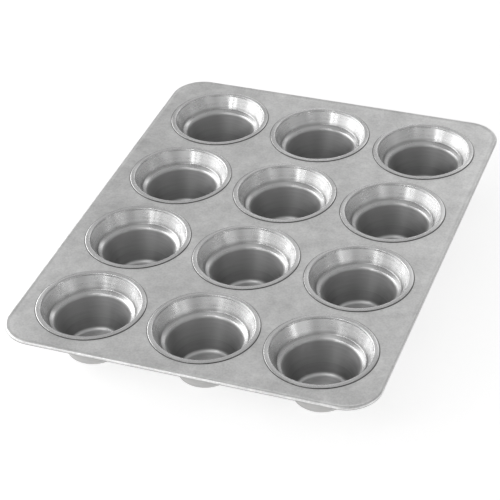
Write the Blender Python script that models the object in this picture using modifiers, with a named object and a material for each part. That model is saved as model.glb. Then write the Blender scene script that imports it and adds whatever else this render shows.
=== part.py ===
"""Crown muffin pan: twelve stepped cups, seamed into a flat sheet whose edge is curled round a wire.

Metres, +Z up. X runs across the columns of cups and Y along the rows, the first row at -Y. The
origin is under the middle of the pan, at the height of the cups' bottoms.
"""

import math

import bmesh
import bpy
from mathutils import Matrix, Vector

# Layout of the cups on the sheet
COLUMNS = 3
ROWS = 4
CUP_SPACING = 0.0086  # flat metal between neighbouring seam rings
SIDE_MARGIN = 0.0160  # flat metal and curl between a seam ring and the pan's long edge
END_MARGIN = 0.0166  # the same at its short edge
CORNER_RADIUS = 0.0330

# Sheet metal and the room that seated pieces leave each other
SHEET_METAL = 0.0006
CUP_METAL = 0.0006
SEAT_GAP = 0.0003

# One cup's inner face, from the seam ring inwards and down
SEAM_WIDTH = 0.00485  # flat ring that lies on the sheet
MOUTH_RADIUS = 0.04675
LIP_INSET = 0.0003  # steep lip right under the mouth
LIP_DEPTH = 0.0018
CROWN_INSET = 0.0070  # flared crown
CROWN_DEPTH = 0.0129
LEDGE_WIDTH = 0.0044  # sloping step between the crown and the well
LEDGE_DROP = 0.0016
WELL_INSET = 0.0087  # tapered well
WELL_DEPTH = 0.0346

# Fillets on the cup's inner face
SEAM_EDGE = 0.0005
CROWN_FILLET = 0.0016
SHOULDER_FILLET = 0.0030
BASE_FILLET = 0.0045

# The sheet's edges
COLLAR_DEPTH = 0.0042  # edge of each hole, turned down along the crown
WIRE_RADIUS = 0.0010
CURL_SWEEP = math.radians(290)

# How finely round shapes are drawn
TURN_STEPS = 24
CORNER_STEPS = 6
CURL_STEPS = 6

seam_rise = SEAT_GAP + CUP_METAL
ring_radius = MOUTH_RADIUS + SEAM_WIDTH
pitch = 2 * ring_radius + CUP_SPACING
cup_height = LIP_DEPTH + CROWN_DEPTH + LEDGE_DROP + WELL_DEPTH
sheet_level = cup_height + CUP_METAL - seam_rise
pan_width = (COLUMNS - 1) * pitch + 2 * (ring_radius + SIDE_MARGIN)
pan_length = (ROWS - 1) * pitch + 2 * (ring_radius + END_MARGIN)
curl_radius = WIRE_RADIUS + SEAT_GAP + SHEET_METAL


def clear_scene():
    for obj in list(bpy.data.objects):
        bpy.data.objects.remove(obj, do_unlink=True)


def steel(name, colour, roughness):
    material = bpy.data.materials.new(name)
    material.use_nodes = True
    shader = material.node_tree.nodes["Principled BSDF"]
    shader.inputs["Base Color"].default_value = (*colour, 1.0)
    shader.inputs["Metallic"].default_value = 1.0
    shader.inputs["Roughness"].default_value = roughness
    return material


def parallel(corners, distance):
    """The corners of the line that runs this far to the right of the line through the given corners."""
    sides = [(end - start).normalized() for start, end in zip(corners, corners[1:])]
    rights = [Vector((side.y, -side.x)) for side in sides]
    moved = []
    for corner, before, after in zip(corners, rights[:1] + rights, rights + rights[-1:]):
        across = (before + after).normalized()
        moved.append(corner + across * distance / across.dot(after))
    return moved


def rounded(corners):
    """Points of a line whose corners, given as (point, radius, steps), have arcs of that many steps."""
    line = [corners[0][0]]
    for (before, _, _), (point, radius, steps), (after, _, _) in zip(corners, corners[1:], corners[2:]):
        if not steps:
            line.append(point)
            continue
        back = before - point
        forth = after - point
        half_angle = back.angle(forth) / 2
        tangent = min(radius / math.tan(half_angle), back.length / 2, forth.length / 2)
        start = point + back.normalized() * tangent
        end = point + forth.normalized() * tangent
        middle = (back.normalized() + forth.normalized()).normalized()
        centre = point + middle * tangent / math.cos(half_angle)
        sweep = -(start - centre).angle_signed(end - centre)
        for step in range(steps + 1):
            line.append(centre + Matrix.Rotation(sweep * step / steps, 2) @ (start - centre))
    line.append(corners[-1][0])
    return line


def cup_section():
    """Half of the cup's metal cut through its axis, from the middle of the floor out, over the seam and back.

    The first number of each point is its radius and the second its height over the sheet's top face.
    """
    lip_radius = MOUTH_RADIUS - LIP_INSET
    crown_foot_radius = lip_radius - CROWN_INSET
    well_radius = crown_foot_radius - LEDGE_WIDTH
    base_radius = well_radius - WELL_INSET
    lip_level = seam_rise - LIP_DEPTH
    crown_foot_level = lip_level - CROWN_DEPTH
    shoulder_level = crown_foot_level - LEDGE_DROP
    floor_level = shoulder_level - WELL_DEPTH
    face = [
        Vector((0, floor_level)),
        Vector((base_radius, floor_level)),
        Vector((well_radius, shoulder_level)),
        Vector((crown_foot_radius, crown_foot_level)),
        Vector((lip_radius, lip_level)),
        Vector((MOUTH_RADIUS, seam_rise)),
        Vector((ring_radius, seam_rise)),
    ]
    back = parallel(face, CUP_METAL)
    face_rounding = [
        (0, 0),
        (BASE_FILLET, 2),
        (SHOULDER_FILLET, 2),
        (CROWN_FILLET, 1),
        (0, 0),
        (0, 0),
        (SEAM_EDGE, 1),
    ]
    back_rounding = [
        (0, 0),
        (BASE_FILLET + CUP_METAL, 1),
        (0, 0),
        (CROWN_FILLET + CUP_METAL, 1),
        (0, 0),
        (0, 0),
        (0, 0),
    ]
    corners = [(point, *how) for point, how in zip(face, face_rounding)]
    corners += [(point, *how) for point, how in zip(reversed(back), reversed(back_rounding))]
    return rounded(corners)


def hole_radius(level):
    """Inner radius of the sheet's turned-down hole edge, which follows the outside of the crown."""
    flare = math.atan2(CROWN_INSET, CROWN_DEPTH)
    crown_radius = MOUTH_RADIUS - LIP_INSET + (level + LIP_DEPTH - seam_rise) * math.tan(flare)
    return crown_radius + (CUP_METAL + SEAT_GAP) / math.cos(flare)


def cup_places():
    """Name and centre of each cup."""
    for row in range(ROWS):
        for column in range(COLUMNS):
            x = (column - (COLUMNS - 1) / 2) * pitch
            y = (row - (ROWS - 1) / 2) * pitch
            yield f"cup_r{row + 1}_c{column + 1}", x, y


def outline_stations():
    """A point and an outward direction for each vertex of the pan's rounded outline."""
    for quarter in range(4):
        turn = quarter * math.pi / 2
        x = pan_width / 2 - CORNER_RADIUS
        y = pan_length / 2 - CORNER_RADIUS
        centre = Vector((x if quarter in (0, 3) else -x, y if quarter in (0, 1) else -y, 0))
        for step in range(CORNER_STEPS + 1):
            angle = turn + step / CORNER_STEPS * math.pi / 2
            yield centre, Vector((math.cos(angle), math.sin(angle), 0))


def outline(inset, level):
    """The pan's outline drawn in by an inset, at a height over the sheet's top face."""
    height = Vector((0, 0, sheet_level + level))
    return [centre + outward * (CORNER_RADIUS - inset) + height for centre, outward in outline_stations()]


def circle(x, y, radius, level):
    angles = [step / TURN_STEPS * 2 * math.pi for step in range(TURN_STEPS)]
    return [Vector((x + radius * math.cos(a), y + radius * math.sin(a), sheet_level + level)) for a in angles]


def add_loop(mesh, points):
    """Adds a closed loop of edges through the points."""
    corners = [mesh.verts.new(point) for point in points]
    return [mesh.edges.new(pair) for pair in zip(corners, corners[1:] + corners[:1])]


def finished(name, mesh, material, collection):
    """An object made from a finished bmesh, smooth but for its creases."""
    data = bpy.data.meshes.new(name)
    mesh.to_mesh(data)
    mesh.free()
    data.shade_smooth()
    data.set_sharp_from_angle(angle=math.radians(35))
    data.materials.append(material)
    obj = bpy.data.objects.new(name, data)
    collection.objects.link(obj)
    return obj


def make_sheet(material, collection):
    """The top sheet: a flat face with a turned-down collar at each hole and a curl along the edge."""
    mesh = bmesh.new()
    edge = add_loop(mesh, outline(curl_radius, 0))
    flat_edges = list(edge)
    for _, x, y in cup_places():
        brim = add_loop(mesh, circle(x, y, hole_radius(0), 0))
        foot = add_loop(mesh, circle(x, y, hole_radius(-COLLAR_DEPTH), -COLLAR_DEPTH))
        bmesh.ops.bridge_loops(mesh, edges=brim + foot)
        flat_edges += brim
    for step in range(1, CURL_STEPS + 1):
        angle = math.pi / 2 - CURL_SWEEP * step / CURL_STEPS
        inset = curl_radius * (1 - math.cos(angle))
        level = curl_radius * (math.sin(angle) - 1)
        next_edge = add_loop(mesh, outline(inset, level))
        bmesh.ops.bridge_loops(mesh, edges=edge + next_edge)
        edge = next_edge
    bmesh.ops.triangle_fill(mesh, use_beauty=True, edges=flat_edges, normal=(0, 0, 1))
    bmesh.ops.recalc_face_normals(mesh, faces=mesh.faces)
    top = max(mesh.faces, key=lambda face: abs(face.normal.z))
    if top.normal.z < 0:
        bmesh.ops.reverse_faces(mesh, faces=mesh.faces)
    sheet = finished("pan_sheet", mesh, material, collection)
    solid = sheet.modifiers.new("Sheet metal", "SOLIDIFY")
    solid.thickness = SHEET_METAL
    solid.offset = -1
    solid.use_even_offset = True
    solid.use_quality_normals = True
    return sheet


def make_wire(material, collection):
    """The closed wire inside the curl."""
    points = outline(curl_radius, -curl_radius)
    data = bpy.data.curves.new("rim_wire", "CURVE")
    data.dimensions = "3D"
    data.bevel_depth = WIRE_RADIUS
    data.bevel_resolution = 1
    spline = data.splines.new("POLY")
    spline.points.add(len(points) - 1)
    for place, point in zip(spline.points, points):
        place.co = (*point, 1)
    spline.use_cyclic_u = True
    data.materials.append(material)
    wire = bpy.data.objects.new("rim_wire", data)
    collection.objects.link(wire)
    return wire


def make_cup(name, profile, collection):
    """One cup, turned from the shared half section."""
    cup = bpy.data.objects.new(name, profile)
    collection.objects.link(cup)
    turn = cup.modifiers.new("Turned", "SCREW")
    turn.axis = "Z"
    turn.steps = TURN_STEPS
    turn.render_steps = TURN_STEPS
    turn.use_merge_vertices = True
    turn.merge_threshold = 0.00005
    turn.use_smooth_shade = True
    return cup


def make_cup_profile(material):
    """The cup's half section as a line of edges in the XZ plane."""
    section = [(radius, 0, level) for radius, level in cup_section()]
    profile = bpy.data.meshes.new("cup_section")
    profile.from_pydata(section, [(n, n + 1) for n in range(len(section) - 1)], [])
    profile.materials.append(material)
    return profile


def make_pan():
    collection = bpy.data.collections.new("crown_muffin_pan")
    bpy.context.scene.collection.children.link(collection)
    pan = bpy.data.objects.new("pan", None)
    collection.objects.link(pan)
    sheet_steel = steel("sheet_steel", (0.60, 0.60, 0.59), 0.42)
    cup_steel = steel("cup_steel", (0.58, 0.57, 0.56), 0.30)
    wire_steel = steel("wire_steel", (0.48, 0.48, 0.48), 0.45)
    pieces = [make_sheet(sheet_steel, collection), make_wire(wire_steel, collection)]
    profile = make_cup_profile(cup_steel)
    for name, x, y in cup_places():
        cup = make_cup(name, profile, collection)
        cup.location = (x, y, sheet_level)
        pieces.append(cup)
    for piece in pieces:
        piece.parent = pan


clear_scene()
make_pan()
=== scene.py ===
"""Looks of the crown muffin pan: satin sheet metal, twelve drawn cups, and a plain studio.

Metres, +Z up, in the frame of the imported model. X runs from column to column of the cups and Y from
row to row, and the cups' bottoms are at height 0. A level is a height over the flat top face of the
sheet.
"""

import math

import bmesh
import bpy
from mathutils import Matrix, Vector


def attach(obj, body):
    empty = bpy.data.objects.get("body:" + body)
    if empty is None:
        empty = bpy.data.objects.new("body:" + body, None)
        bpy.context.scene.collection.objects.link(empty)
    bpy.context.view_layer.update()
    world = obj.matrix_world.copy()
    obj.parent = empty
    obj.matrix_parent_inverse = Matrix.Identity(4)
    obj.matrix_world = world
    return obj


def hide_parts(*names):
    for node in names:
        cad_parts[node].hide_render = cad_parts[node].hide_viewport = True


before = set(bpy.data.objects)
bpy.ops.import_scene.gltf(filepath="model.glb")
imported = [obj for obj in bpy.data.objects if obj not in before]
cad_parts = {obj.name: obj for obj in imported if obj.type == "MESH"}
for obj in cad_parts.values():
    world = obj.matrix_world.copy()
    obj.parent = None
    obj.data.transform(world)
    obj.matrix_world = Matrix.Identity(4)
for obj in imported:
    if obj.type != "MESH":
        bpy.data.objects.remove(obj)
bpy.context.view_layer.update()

# Layout of the cups on the sheet
COLUMNS = 3
ROWS = 4
PITCH = 0.1118
PAN_WIDTH = 0.35876
PAN_LENGTH = 0.47176
CORNER_RADIUS = 0.0330
CORNER_STEPS = 28
SHEET_HEIGHT = 0.0506  # of the sheet's flat top face

# Metal, and the curl of the sheet's edge about its wire
METAL = 0.0006
WIRE_RADIUS = 0.0010
WIRE_ROUNDNESS = 4
CURL_RADIUS = 0.0020
CURL_END = math.radians(275)  # how far the curl turns from its crest
CURL_RISE = 0.00040  # level of its crest
CURL_STEPS = 26
# The sheet dips gently before it rises to the curl: inset from the outline, level, fillet radius, steps
SHEET_DIP = [
    (0.0095, 0.0, 0.0, 0),
    (0.0079, 0.0, 0.025, 5),
    (0.0041, -0.00018, 0.005, 8),
]
CALM_BORDER = 0.0006  # narrow flat strip along each bend, which keeps the flat face's shading flat
SHARP_ANGLE = math.radians(40)

# A hole in the sheet, which a cup's seam ring covers, and the collar that is turned down along the cup:
# radius, level, fillet radius, steps
COLLAR = [
    (0.04896, 0.0, 0.0, 0),
    (0.04796, 0.0, 0.0010, 6),
    (0.04568, -0.0042, 0.0, 0),
]

# The cup's inner face: radius, level, fillet radius, steps
CUP_FACE = [
    (0.0, -0.0496, 0.0, 0),
    (0.0195, -0.0496, 0.0020, 5),
    (0.0207, -0.0500, 0.0020, 5),
    (0.02635, -0.0500, 0.0040, 12),
    (0.03515, -0.0157, 0.0050, 16),
    (0.03995, -0.01285, 0.0024, 12),
    (0.04645, -0.00090, 0.0010, 6),
    (0.04690, 0.0009, 0.0012, 10),
    (0.04990, 0.0009, 0.0, 0),
]
# The seam ring's outer edge: flat to the crest, rounded down to the side, then tucked in to the foot
RING_CREST = Vector((0.04990, 0.0009))
RING_SIDE = Vector((0.05155, 0.00025))
RING_FOOT = Vector((0.05130, 0.00003))
RING_STEPS = 14
RING_BACK = Vector((0.04730, 0.00003))  # where the ring's underside meets the crown's outside
TURN_STEPS = 144
MERGE_DISTANCE = 0.00001

# Where nearly all values of a noise lie, and of the sum of two
NOISE_RANGE = (0.3, 0.7)
TWO_NOISE_RANGE = (0.7, 1.3)

# Satin sheet. Its tone is a sum of clouds, smudges and grain, with a weight of 1 for the smudges
CLOUD_WEIGHT = 1.4
GRAIN_WEIGHT = 1.2
SHEET_TONE_RANGE = (1.25, 2.35)
SHEET_DARK = (0.70, 0.70, 0.697, 1)
SHEET_PALE = (0.985, 0.985, 0.98, 1)
SHEET_ROUGHNESS = (0.36, 0.44)
SHEET_GLANCING = 0.45  # how much of steel's usual reflection is left at a glancing angle
UNDERSIDE_SHADE_LEVELS = (-0.0010, -0.0022)  # painted shade on the curl's lower half fades in between these
UNDERSIDE_SHADE = 0.58  # share of its colour that the metal there keeps under the painted shade

# Drawn cups. How pale and how rough the face is, by level: lip, crown, ledge, well, floor
# The well's paleness falls from its top towards its floor: painted shade in the depth of the cup
CUP_TONES_AND_WELL_SHADE = [
    (0.0009, 0.76), (-0.0008, 0.76), (-0.0016, 0.80), (-0.0118, 0.80), (-0.0132, 0.73),
    (-0.0150, 0.73), (-0.0176, 0.50), (-0.0364, 0.40), (-0.0371, 0.43), (-0.0380, 0.37),
    (-0.0470, 0.34), (-0.0492, 0.90), (-0.0506, 0.90),
]
CUP_ROUGHNESS = [
    (0.0009, 0.27), (-0.0150, 0.27), (-0.0175, 0.53), (-0.0470, 0.53), (-0.0492, 0.36), (-0.0506, 0.36),
]
DRAWN_LINES = 600.0  # fine lines round the cup, per metre along its face
DRAWN_STRETCH = 0.80  # how much those lines stretch its highlights
QUARTER_TURN = 0.25  # turns that stretch from along the lines to across them
AXIS_GAP = 0.002  # added to a radius, so that directions round the cup stay finite at its axis
LINE_TONES = (0.92, 1.08)
CLOUD_TONES = (0.95, 1.05)
UNEVEN_GLOSS = (-0.05, 0.05)
# The cups' outside takes a darker colour: painted shade under the pan
OUTSIDE_SHADE_COLOUR = (0.55, 0.546, 0.54, 1)
OUTSIDE_ROUGHNESS = 0.40
OUTSIDE_FACING = (0.02, -0.02)  # upward part of the normal, from the inside's faces to the outside's
GROOVE = (0.0400, -0.0122)  # radius and level of the painted shade in the groove at the crown's foot
GROOVE_REACH = (0.0034, 0.0002)  # distance from it at which the shade starts, and is full
GROOVE_SHADE = 0.68  # share of its colour that the groove keeps under that painted shade

# Painted shade in the seam's crevice: on the sheet round the ring's foot, and on the ring's foot. Each range
# runs from unshaded to fully shaded
SEAM_SHADE = (0.08, 0.079, 0.077, 1)
SEAM_SHADE_RADII = (0.0525, 0.0517)
RING_FOOT_SHADE = (0.05, 0.049, 0.048, 1)
RING_FOOT_SHADE_RADII = (0.0505, 0.0511)
RING_FOOT_SHADE_LEVELS = (0.00070, 0.00030)

# Wire
WIRE_DARK = (0.40, 0.40, 0.40, 1)
WIRE_PALE = (0.52, 0.52, 0.52, 1)
WIRE_ROUGHNESS = (0.40, 0.52)

# Floor: its own glow towards the camera and towards metal, and the grey that catches light and shadow
FLOOR_GLOW = 0.72
FLOOR_COLOUR = (0.50, 0.50, 0.50, 1)
FLOOR_HALF_SIZE = 6.0
FLOOR_HEIGHT = -0.0002

# The photograph's camera. Angles are in radians: turned about the vertical from the front, looking down,
# and rolled. The middle of the sheet's top face lies so far right of it, over it and ahead of it
CAMERA_TURN = 0.3779
CAMERA_RISE = 0.6342
CAMERA_ROLL = -0.0490
CENTRE_SEEN_AT = Vector((0.01506, 0.02589, 1.74330))
LENS = 128.75
SENSOR = 36.0
SHIFT = (-0.001, 0.001)
FARTHEST_SEEN = 50.0

# Studio light comes from a dim even room and from panels with soft edges
ROOM_BRIGHTNESS = 0.4
# A window on the left, as rows of panels: how bright each looks in its middle, by degrees up, then round
WINDOW_TURNS = (130, 150, 170, 190, 210, 230)
WINDOW_ROWS = {
    6: (0.0, 2.5, 0.42, 0.95, 0.62, 0.33),
    18: (0.08, 2.46, 3.43, 1.36, 0.0, 0.0),
    30: (0.0, 0.0, 1.88, 2.85, 2.18, 1.05),
}
WINDOW_DISTANCE = 1.4
WINDOW_PANEL_SIZE = (1.02, 0.60)
WINDOW_PANELS = [
    (f"window_{turn}_{rise}", (turn, rise), WINDOW_DISTANCE, WINDOW_PANEL_SIZE, brightness)
    for rise, row in WINDOW_ROWS.items()
    for turn, brightness in zip(WINDOW_TURNS, row)
    if brightness
]
# Name, degrees round from +X and up, distance, width and height, and how bright it looks in its middle
PANELS = WINDOW_PANELS + [
    ("strip_265", (265, 4), 1.4, (0.80, 0.26), 2.05),
    ("front", (285, 18), 1.5, (0.90, 0.60), 0.29),
    ("front_high", (265, 50), 1.5, (1.20, 0.90), 1.16),
    ("right_20", (20, 9), 1.4, (0.90, 0.50), 0.07),
    ("right_50", (50, 9), 1.4, (0.90, 0.50), 0.13),
    ("back_80", (80, 10), 1.4, (0.80, 0.50), 1.7),
    ("back_105", (105, 10), 1.4, (0.80, 0.50), 1.64),
    ("back_high_right", (82, 34), 1.5, (0.80, 0.70), 1.31),
    ("back_high", (108, 38), 1.5, (0.70, 0.80), 0.35),
    ("back_high_left", (132, 42), 1.5, (0.80, 0.70), 0.22),
    ("back_top", (100, 62), 1.5, (1.00, 0.80), 0.14),
    ("front_a_low", (251.3, 22), 1.2, (0.30, 0.24), 0.77),
    ("front_a", (251.3, 29), 1.3, (0.26, 0.30), 5.45),
    ("front_a_high", (251.3, 38), 1.4, (0.36, 0.34), 5.09),
    ("front_b", (238, 30), 1.4, (0.40, 0.40), 4.2),
    ("card_low", (-29, 6), 0.42, (0.10, 0.08), 2.68),
    ("card_wide", (-40, 14), 0.55, (0.40, 0.20), 0.76),
]


def rounded(corners):
    """Points of a line through corners (across, up, fillet radius, steps), rounded where steps are given."""
    corners = [(Vector((across, up)), radius, steps) for across, up, radius, steps in corners]
    line = [corners[0][0]]
    for (before, _, _), (point, radius, steps), (after, _, _) in zip(corners, corners[1:], corners[2:]):
        if not steps:
            line.append(point)
            continue
        back = before - point
        forth = after - point
        half_angle = back.angle(forth) / 2
        tangent = min(radius / math.tan(half_angle), back.length / 2, forth.length / 2)
        start = point + back.normalized() * tangent
        end = point + forth.normalized() * tangent
        middle = (back.normalized() + forth.normalized()).normalized()
        centre = point + middle * tangent / math.cos(half_angle)
        sweep = -(start - centre).angle_signed(end - centre)
        for step in range(steps + 1):
            line.append(centre + Matrix.Rotation(sweep * step / steps, 2) @ (start - centre))
    line.append(corners[-1][0])
    return line


def parallel(line, distance):
    """The line that runs this far to the right of the given one."""
    sides = [(end - start).normalized() for start, end in zip(line, line[1:])]
    rights = [Vector((side.y, -side.x)) for side in sides]
    moved = []
    for point, before, after in zip(line, rights[:1] + rights, rights + rights[-1:]):
        across = (before + after).normalized()
        moved.append(point + across * distance / across.dot(after))
    return moved


def quarter_arc(start, end, steps):
    """Points of a quarter of an ellipse that leaves its start level and reaches its end upright."""
    points = []
    for step in range(steps + 1):
        angle = step / steps * math.pi / 2
        points.append(Vector((
            start.x + (end.x - start.x) * math.sin(angle),
            end.y + (start.y - end.y) * math.cos(angle),
        )))
    return points


def rim_section():
    """The sheet's top face cut across its rim, as (inset from the outline, level)."""
    centre = Vector((CURL_RADIUS, CURL_RISE - CURL_RADIUS))
    from_centre = Vector(SHEET_DIP[-1][:2]) - centre
    # A line from the dip's last corner touches the curl this far before its crest
    lean = math.asin(CURL_RADIUS / from_centre.length) - math.atan2(from_centre.y, from_centre.x)
    curl = []
    for step in range(CURL_STEPS + 1):
        angle = (CURL_END + lean) * step / CURL_STEPS - lean
        curl.append(centre + CURL_RADIUS * Vector((-math.sin(angle), math.cos(angle))))
    return rounded(SHEET_DIP + [(*curl[0], 0.0, 0)]) + curl[1:]


def cup_section():
    """Half of the cup's metal cut through its axis, as (radius, level), inner face first."""
    face = rounded(CUP_FACE)
    # The back ends under the seam ring, and starts exactly on the axis
    back = [point for point in parallel(face, METAL) if point.y < 0]
    back[0].x = 0
    over = quarter_arc(RING_CREST, RING_SIDE, RING_STEPS)
    under = quarter_arc(RING_FOOT, RING_SIDE, RING_STEPS)[::-1]
    return face + over[1:] + under[1:] + [RING_BACK] + back[::-1]


def cup_places():
    """Row, column and centre of each cup."""
    for row in range(ROWS):
        for column in range(COLUMNS):
            x = (column - (COLUMNS - 1) / 2) * PITCH
            y = (row - (ROWS - 1) / 2) * PITCH
            yield row + 1, column + 1, x, y


def outline(inset, level):
    """The pan's rounded outline, drawn in by an inset."""
    x = PAN_WIDTH / 2 - CORNER_RADIUS
    y = PAN_LENGTH / 2 - CORNER_RADIUS
    points = []
    for quarter, corner in enumerate(((x, y), (-x, y), (-x, -y), (x, -y))):
        centre = Vector((*corner, SHEET_HEIGHT + level))
        for step in range(CORNER_STEPS + 1):
            angle = (quarter + step / CORNER_STEPS) * math.pi / 2
            outward = Vector((math.cos(angle), math.sin(angle), 0))
            points.append(centre + outward * (CORNER_RADIUS - inset))
    return points


def circle(x, y, radius, level):
    """A circle about a cup's axis."""
    points = []
    for step in range(TURN_STEPS):
        angle = step / TURN_STEPS * 2 * math.pi
        points.append(Vector((
            x + radius * math.cos(angle),
            y + radius * math.sin(angle),
            SHEET_HEIGHT + level,
        )))
    return points


def add_ring(mesh, points, last_ring=None):
    """A ring of corners, joined by faces to the ring before it."""
    ring = [mesh.verts.new(point) for point in points]
    if last_ring:
        for corners in zip(last_ring, last_ring[1:] + last_ring[:1], ring[1:] + ring[:1], ring):
            mesh.faces.new(corners)
    return ring


def ring_edges(mesh, ring):
    """The edges that join a ring's corners."""
    return [mesh.edges.get(pair) for pair in zip(ring, ring[1:] + ring[:1])]


def new_object(name, data):
    """An object in the scene."""
    thing = bpy.data.objects.new(name, data)
    bpy.context.scene.collection.objects.link(thing)
    return thing


def sheet_mesh():
    """The sheet's top face: flat, with a bent collar at each hole and the curl along the edge."""
    mesh = bmesh.new()
    rim = rim_section()
    flat_edge = add_ring(mesh, outline(rim[0].x + CALM_BORDER, 0))
    edge = flat_edge
    for inset, level in rim:
        edge = add_ring(mesh, outline(inset, level), edge)
    fill_edges = ring_edges(mesh, flat_edge)
    collar = rounded(COLLAR)
    for _, _, x, y in cup_places():
        brim = add_ring(mesh, circle(x, y, collar[0].x + CALM_BORDER, 0))
        edge = brim
        for radius, level in collar:
            edge = add_ring(mesh, circle(x, y, radius, level), edge)
        fill_edges += ring_edges(mesh, brim)
    bmesh.ops.triangle_fill(mesh, use_beauty=True, edges=fill_edges, normal=(0, 0, 1))
    bmesh.ops.recalc_face_normals(mesh, faces=mesh.faces)
    flattest = max(mesh.faces, key=lambda face: abs(face.normal.z))
    if flattest.normal.z < 0:
        bmesh.ops.reverse_faces(mesh, faces=mesh.faces)
    data = bpy.data.meshes.new("sheet_body")
    mesh.to_mesh(data)
    mesh.free()
    data.shade_smooth()
    data.set_sharp_from_angle(angle=SHARP_ANGLE)
    return data


def make_sheet(material):
    """The sheet, whose thickness lies under its top face and inside its curl."""
    data = sheet_mesh()
    data.materials.append(material)
    sheet = new_object("sheet_body", data)
    solid = sheet.modifiers.new("Sheet metal", "SOLIDIFY")
    solid.thickness = METAL
    solid.offset = -1
    solid.use_even_offset = True
    solid.use_quality_normals = True
    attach(sheet, "root")
    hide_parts("pan_sheet")


def make_wire(material):
    """The round wire that the edge is curled about, resting in the curl."""
    points = outline(CURL_RADIUS, CURL_RISE - 2 * CURL_RADIUS + METAL + WIRE_RADIUS)
    data = bpy.data.curves.new("wire_body", "CURVE")
    data.dimensions = "3D"
    data.bevel_depth = WIRE_RADIUS
    data.bevel_resolution = WIRE_ROUNDNESS
    spline = data.splines.new("POLY")
    spline.points.add(len(points) - 1)
    for place, point in zip(spline.points, points):
        place.co = (*point, 1)
    spline.use_cyclic_u = True
    data.materials.append(material)
    wire = new_object("wire_body", data)
    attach(wire, "root")
    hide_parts("rim_wire")


def make_cups(material):
    """Twelve cups, each turned from the shared half section."""
    section = [(point.x, 0, point.y) for point in cup_section()]
    profile = bpy.data.meshes.new("cup_section")
    profile.from_pydata(section, [(n, n + 1) for n in range(len(section) - 1)], [])
    profile.materials.append(material)
    for row, column, x, y in cup_places():
        cup = new_object(f"cup_body_r{row}_c{column}", profile)
        cup.location = (x, y, SHEET_HEIGHT)
        turn = cup.modifiers.new("Turned", "SCREW")
        turn.axis = "Z"
        turn.steps = TURN_STEPS
        turn.render_steps = TURN_STEPS
        turn.use_merge_vertices = True
        turn.merge_threshold = MERGE_DISTANCE
        turn.use_smooth_shade = True
        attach(cup, "root")
        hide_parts(f"cup_r{row}_c{column}")


def grey(value):
    """An opaque grey."""
    return (value, value, value, 1)


class Nodes:
    """Short ways to add and join shader nodes in one tree."""

    def __init__(self, tree):
        self.tree = tree
        tree.nodes.clear()

    def add(self, kind, inputs=None, **settings):
        """A node, with its inputs joined to sockets or set to values."""
        node = self.tree.nodes.new(kind)
        for name, value in settings.items():
            setattr(node, name, value)
        for name, value in (inputs or {}).items():
            if isinstance(value, bpy.types.NodeSocket):
                self.tree.links.new(value, node.inputs[name])
            else:
                node.inputs[name].default_value = value
        return node

    def maths(self, operation, *values):
        """What a sum, product or other operation on these values gives."""
        return self.add("ShaderNodeMath", dict(enumerate(values)), operation=operation).outputs[0]

    def length(self, x, y):
        """Length of the slanting line with these two sides."""
        squares = (self.maths("MULTIPLY", x, x), self.maths("MULTIPLY", y, y))
        return self.maths("SQRT", self.maths("ADD", *squares))

    def vector(self, x, y, z=0.0):
        """A vector made of its parts."""
        return self.add("ShaderNodeCombineXYZ", {"X": x, "Y": y, "Z": z}).outputs[0]

    def parts(self, vector):
        """The X, Y and Z of a vector."""
        return self.add("ShaderNodeSeparateXYZ", {"Vector": vector}).outputs

    def noise(self, vector, scale, detail=2.0, roughness=0.5):
        """A smooth noise, whose values lie mostly in NOISE_RANGE."""
        inputs = {"Vector": vector, "Scale": scale, "Detail": detail, "Roughness": roughness}
        return self.add("ShaderNodeTexNoise", inputs).outputs["Fac"]

    def spread(self, value, from_range, to_range):
        """The value, moved and stretched from one range to another, and held inside it."""
        inputs = {
            "Value": value,
            "From Min": from_range[0],
            "From Max": from_range[1],
            "To Min": to_range[0],
            "To Max": to_range[1],
        }
        return self.add("ShaderNodeMapRange", inputs).outputs["Result"]

    def smooth(self, value, start, end):
        """0 at the start, 1 at the end, and a soft step between."""
        inputs = {"Value": value, "From Min": start, "From Max": end}
        return self.add("ShaderNodeMapRange", inputs, interpolation_type="SMOOTHSTEP").outputs["Result"]

    def blend(self, factor, first, second):
        """The first colour where the factor is 0, the second where it is 1, and between them a mix."""
        inputs = {"Factor": factor, "A": first, "B": second}
        return self.add("ShaderNodeMix", inputs, data_type="RGBA").outputs["Result"]

    def scale(self, colour, factor):
        """The colour times a factor."""
        inputs = {0: colour, "Scale": factor}
        return self.add("ShaderNodeVectorMath", inputs, operation="SCALE").outputs["Vector"]

    def shade(self, colour, mask, share):
        """The colour, cut to this share of itself where the mask is 1."""
        return self.scale(colour, self.spread(mask, (0.0, 1.0), (1.0, share)))

    def bump(self, height, strength, distance):
        """Normals that follow a fine relief."""
        inputs = {"Strength": strength, "Distance": distance, "Height": height}
        return self.add("ShaderNodeBump", inputs).outputs[0]

    def metal(self, inputs):
        """A metal surface, as the tree's output."""
        shader = self.add("ShaderNodeBsdfPrincipled", {"Metallic": 1.0, **inputs})
        self.add("ShaderNodeOutputMaterial", {"Surface": shader.outputs[0]})

    def by_level(self, level, stops):
        """A grey that follows these (level, value) stops, highest first."""
        high = stops[0][0]
        low = stops[-1][0]
        ramp = self.add("ShaderNodeValToRGB", {"Fac": self.spread(level, (low, high), (0.0, 1.0))})
        elements = ramp.color_ramp.elements
        for stop, _ in stops[1:-1]:
            elements.new((stop - low) / (high - low))
        for element, (_, value) in zip(elements, reversed(stops)):
            element.color = grey(value)
        return ramp.outputs["Color"]

    def from_nearest(self, value, count):
        """How far a coordinate lies from the nearest of this many cup centres, one pitch apart."""
        middle = (count - 1) / 2
        number = self.maths("ROUND", self.maths("ADD", self.maths("DIVIDE", value, PITCH), middle))
        number = self.maths("MAXIMUM", self.maths("MINIMUM", number, float(count - 1)), 0.0)
        centre = self.maths("MULTIPLY", self.maths("SUBTRACT", number, middle), PITCH)
        return self.maths("SUBTRACT", value, centre)


def new_material(name):
    """An empty material and the way to add its nodes."""
    material = bpy.data.materials.new(name)
    material.use_nodes = True
    return material, Nodes(material.node_tree)


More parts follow.
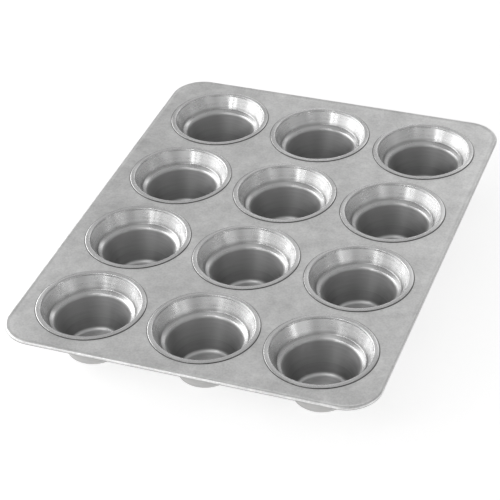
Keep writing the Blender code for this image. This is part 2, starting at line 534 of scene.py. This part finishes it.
def satin_sheet():
    """Satin sheet steel: faint cloudy mottling, a very fine grain, and painted shade at each ring's foot."""
    material, nodes = new_material("satin_sheet_steel")
    place = nodes.add("ShaderNodeTexCoord").outputs["Object"]
    parts = nodes.parts(place)
    clouds = nodes.noise(place, scale=26.0, detail=3.0, roughness=0.6)
    smudges = nodes.noise(place, scale=110.0, detail=2.0, roughness=0.55)
    grain = nodes.noise(place, scale=520.0, detail=2.0, roughness=0.6)
    tone = nodes.maths("ADD", nodes.maths("MULTIPLY", clouds, CLOUD_WEIGHT), smudges)
    tone = nodes.maths("ADD", tone, nodes.maths("MULTIPLY", grain, GRAIN_WEIGHT))
    colour = nodes.blend(nodes.spread(tone, SHEET_TONE_RANGE, (0.0, 1.0)), SHEET_DARK, SHEET_PALE)
    from_axis = nodes.length(
        nodes.from_nearest(parts["X"], COLUMNS),
        nodes.from_nearest(parts["Y"], ROWS),
    )
    # Painted shade in the crevice round the foot of each seam ring
    colour = nodes.blend(nodes.smooth(from_axis, *SEAM_SHADE_RADII), colour, SEAM_SHADE)
    # Painted shade where the metal lies over a millimetre below the flat top: low in the curl
    underside = nodes.smooth(parts["Z"], *(SHEET_HEIGHT + level for level in UNDERSIDE_SHADE_LEVELS))
    nodes.metal({
        "Base Color": nodes.shade(colour, underside, UNDERSIDE_SHADE),
        "Roughness": nodes.spread(clouds, NOISE_RANGE, SHEET_ROUGHNESS),
        "Specular Tint": grey(SHEET_GLANCING),
        "Normal": nodes.bump(grain, strength=0.05, distance=0.0002),
    })
    return material


def drawn_steel():
    """Drawn cup steel: the die polishes the crown, the well is duller, and fine lines run round both."""
    material, nodes = new_material("drawn_cup_steel")
    parts = nodes.parts(nodes.add("ShaderNodeTexCoord").outputs["Object"])
    geometry = nodes.add("ShaderNodeNewGeometry").outputs
    level = parts["Z"]
    radius = nodes.length(parts["X"], parts["Y"])
    widened_radius = nodes.maths("ADD", radius, AXIS_GAP)
    around_x = nodes.maths("DIVIDE", parts["X"], widened_radius)
    around_y = nodes.maths("DIVIDE", parts["Y"], widened_radius)
    along = nodes.maths("MULTIPLY", nodes.maths("SUBTRACT", radius, level), DRAWN_LINES)
    lines = nodes.noise(nodes.vector(around_x, around_y, along), scale=1.0, detail=3.0, roughness=0.6)
    clouds = nodes.noise(geometry["Position"], scale=60.0, detail=3.0, roughness=0.5)

    # Faces that look outward take the darker outside colour, painted shade under the pan
    outside = nodes.smooth(nodes.parts(geometry["True Normal"])["Z"], *OUTSIDE_FACING)
    # Painted shade: the tones by level darken down the well
    colour = nodes.blend(outside, nodes.by_level(level, CUP_TONES_AND_WELL_SHADE), OUTSIDE_SHADE_COLOUR)
    colour = nodes.scale(colour, nodes.maths(
        "MULTIPLY",
        nodes.spread(lines, NOISE_RANGE, LINE_TONES),
        nodes.spread(clouds, NOISE_RANGE, CLOUD_TONES),
    ))
    from_groove = nodes.add(
        "ShaderNodeVectorMath",
        {0: nodes.vector(radius, level), 1: (*GROOVE, 0)},
        operation="DISTANCE",
    ).outputs["Value"]
    # Painted shade in the groove at the crown's foot
    colour = nodes.shade(colour, nodes.smooth(from_groove, *GROOVE_REACH), GROOVE_SHADE)
    # Painted shade on the seam ring's outer foot, where it meets the sheet
    foot_shade_mask = nodes.maths(
        "MULTIPLY",
        nodes.smooth(level, *RING_FOOT_SHADE_LEVELS),
        nodes.smooth(radius, *RING_FOOT_SHADE_RADII),
    )
    colour = nodes.blend(foot_shade_mask, colour, RING_FOOT_SHADE)

    uneven = nodes.spread(nodes.maths("ADD", lines, clouds), TWO_NOISE_RANGE, UNEVEN_GLOSS)
    roughness = nodes.maths("ADD", nodes.by_level(level, CUP_ROUGHNESS), uneven)
    nodes.metal({
        "Base Color": colour,
        "Roughness": nodes.blend(outside, roughness, grey(OUTSIDE_ROUGHNESS)),
        "Anisotropic": DRAWN_STRETCH,
        "Anisotropic Rotation": QUARTER_TURN,
        "Normal": nodes.bump(lines, strength=0.03, distance=0.0001),
        "Tangent": nodes.vector(nodes.maths("MULTIPLY", around_y, -1.0), around_x),
    })
    return material


def plain_wire():
    """Dull steel wire with a faint drawn grain."""
    material, nodes = new_material("dull_wire_steel")
    grain = nodes.noise(nodes.add("ShaderNodeTexCoord").outputs["Object"], scale=900.0)
    nodes.metal({
        "Base Color": nodes.blend(grain, WIRE_DARK, WIRE_PALE),
        "Roughness": nodes.spread(grain, NOISE_RANGE, WIRE_ROUGHNESS),
    })
    return material


def floor_paper():
    """White to the camera and in reflections, grey under light and shadow, and clear from below."""
    material, nodes = new_material("studio_floor")
    path = nodes.add("ShaderNodeLightPath").outputs
    seen = nodes.maths("MAXIMUM", path["Is Camera Ray"], path["Is Glossy Ray"])
    seen = nodes.maths("MAXIMUM", seen, path["Is Transmission Ray"])
    strength = nodes.maths("MULTIPLY", seen, FLOOR_GLOW)
    glow = nodes.add("ShaderNodeEmission", {"Color": (1, 1, 1, 1), "Strength": strength})
    matt = nodes.add("ShaderNodeBsdfDiffuse", {"Color": FLOOR_COLOUR})
    both = nodes.add("ShaderNodeAddShader", {0: glow.outputs[0], 1: matt.outputs[0]})
    clear = nodes.add("ShaderNodeBsdfTransparent")
    back = nodes.add("ShaderNodeNewGeometry").outputs["Backfacing"]
    surface = nodes.add("ShaderNodeMixShader", {0: back, 1: both.outputs[0], 2: clear.outputs[0]})
    nodes.add("ShaderNodeOutputMaterial", {"Surface": surface.outputs[0]})
    return material


def make_floor(material):
    """The floor, which isn't part of the pan."""
    mesh = bmesh.new()
    bmesh.ops.create_grid(mesh, x_segments=1, y_segments=1, size=FLOOR_HALF_SIZE)
    data = bpy.data.meshes.new("studio_floor")
    mesh.to_mesh(data)
    mesh.free()
    data.materials.append(material)
    floor = new_object("studio_floor", data)
    floor.location.z = FLOOR_HEIGHT


def make_world():
    """The room's even light."""
    world = bpy.data.worlds.new("studio")
    world.use_nodes = True
    nodes = Nodes(world.node_tree)
    back = nodes.add("ShaderNodeBackground", {"Color": (1, 1, 1, 1), "Strength": ROOM_BRIGHTNESS})
    nodes.add("ShaderNodeOutputWorld", {"Surface": back.outputs[0]})
    bpy.context.scene.world = world


def add_panel(name, direction, distance, size, brightness):
    """A flat light that faces the pan from a direction and fades out towards its edges."""
    around, rise = (math.radians(angle) for angle in direction)
    outward = Vector((math.cos(around) * math.cos(rise), math.sin(around) * math.cos(rise), math.sin(rise)))
    width, height = size
    data = bpy.data.lights.new(name, "AREA")
    data.shape = "RECTANGLE"
    data.size = width
    data.size_y = height
    data.energy = brightness * math.pi * width * height
    data.use_nodes = True
    nodes = Nodes(data.node_tree)
    sides = nodes.parts(nodes.add("ShaderNodeNewGeometry").outputs["Parametric"])
    middle = 0.5  # of sides that run from 0 to 1
    fades = [nodes.smooth(nodes.maths("PINGPONG", sides[axis], middle), 0.0, middle) for axis in ("X", "Y")]
    glow = nodes.add("ShaderNodeEmission", {"Strength": nodes.maths("MULTIPLY", *fades)})
    nodes.add("ShaderNodeOutputLight", {0: glow.outputs[0]})
    lamp = new_object(name, data)
    lamp.location = Vector((0, 0, SHEET_HEIGHT)) + outward * distance
    lamp.rotation_euler = outward.to_track_quat("Z", "Y").to_euler()
    lamp.visible_camera = False


def make_camera():
    """The photograph's camera."""
    forward = Vector((
        -math.sin(CAMERA_TURN) * math.cos(CAMERA_RISE),
        math.cos(CAMERA_TURN) * math.cos(CAMERA_RISE),
        -math.sin(CAMERA_RISE),
    ))
    unrolled_right = Vector((math.cos(CAMERA_TURN), math.sin(CAMERA_TURN), 0))
    unrolled_up = unrolled_right.cross(forward)
    right = math.cos(CAMERA_ROLL) * unrolled_right + math.sin(CAMERA_ROLL) * unrolled_up
    up = math.cos(CAMERA_ROLL) * unrolled_up - math.sin(CAMERA_ROLL) * unrolled_right
    seen = CENTRE_SEEN_AT
    data = bpy.data.cameras.new("camera")
    data.lens = LENS
    data.sensor_width = SENSOR
    data.shift_x, data.shift_y = SHIFT
    data.clip_end = FARTHEST_SEEN
    camera = new_object("camera", data)
    place = Vector((0, 0, SHEET_HEIGHT)) - right * seen.x - up * seen.y - forward * seen.z
    camera.matrix_world = Matrix.Translation(place) @ Matrix((right, up, -forward)).transposed().to_4x4()
    bpy.context.scene.camera = camera


bpy.context.scene.view_settings.view_transform = "Standard"
make_camera()
make_sheet(satin_sheet())
make_wire(plain_wire())
make_cups(drawn_steel())
make_floor(floor_paper())
make_world()
for panel in PANELS:
    add_panel(*panel)
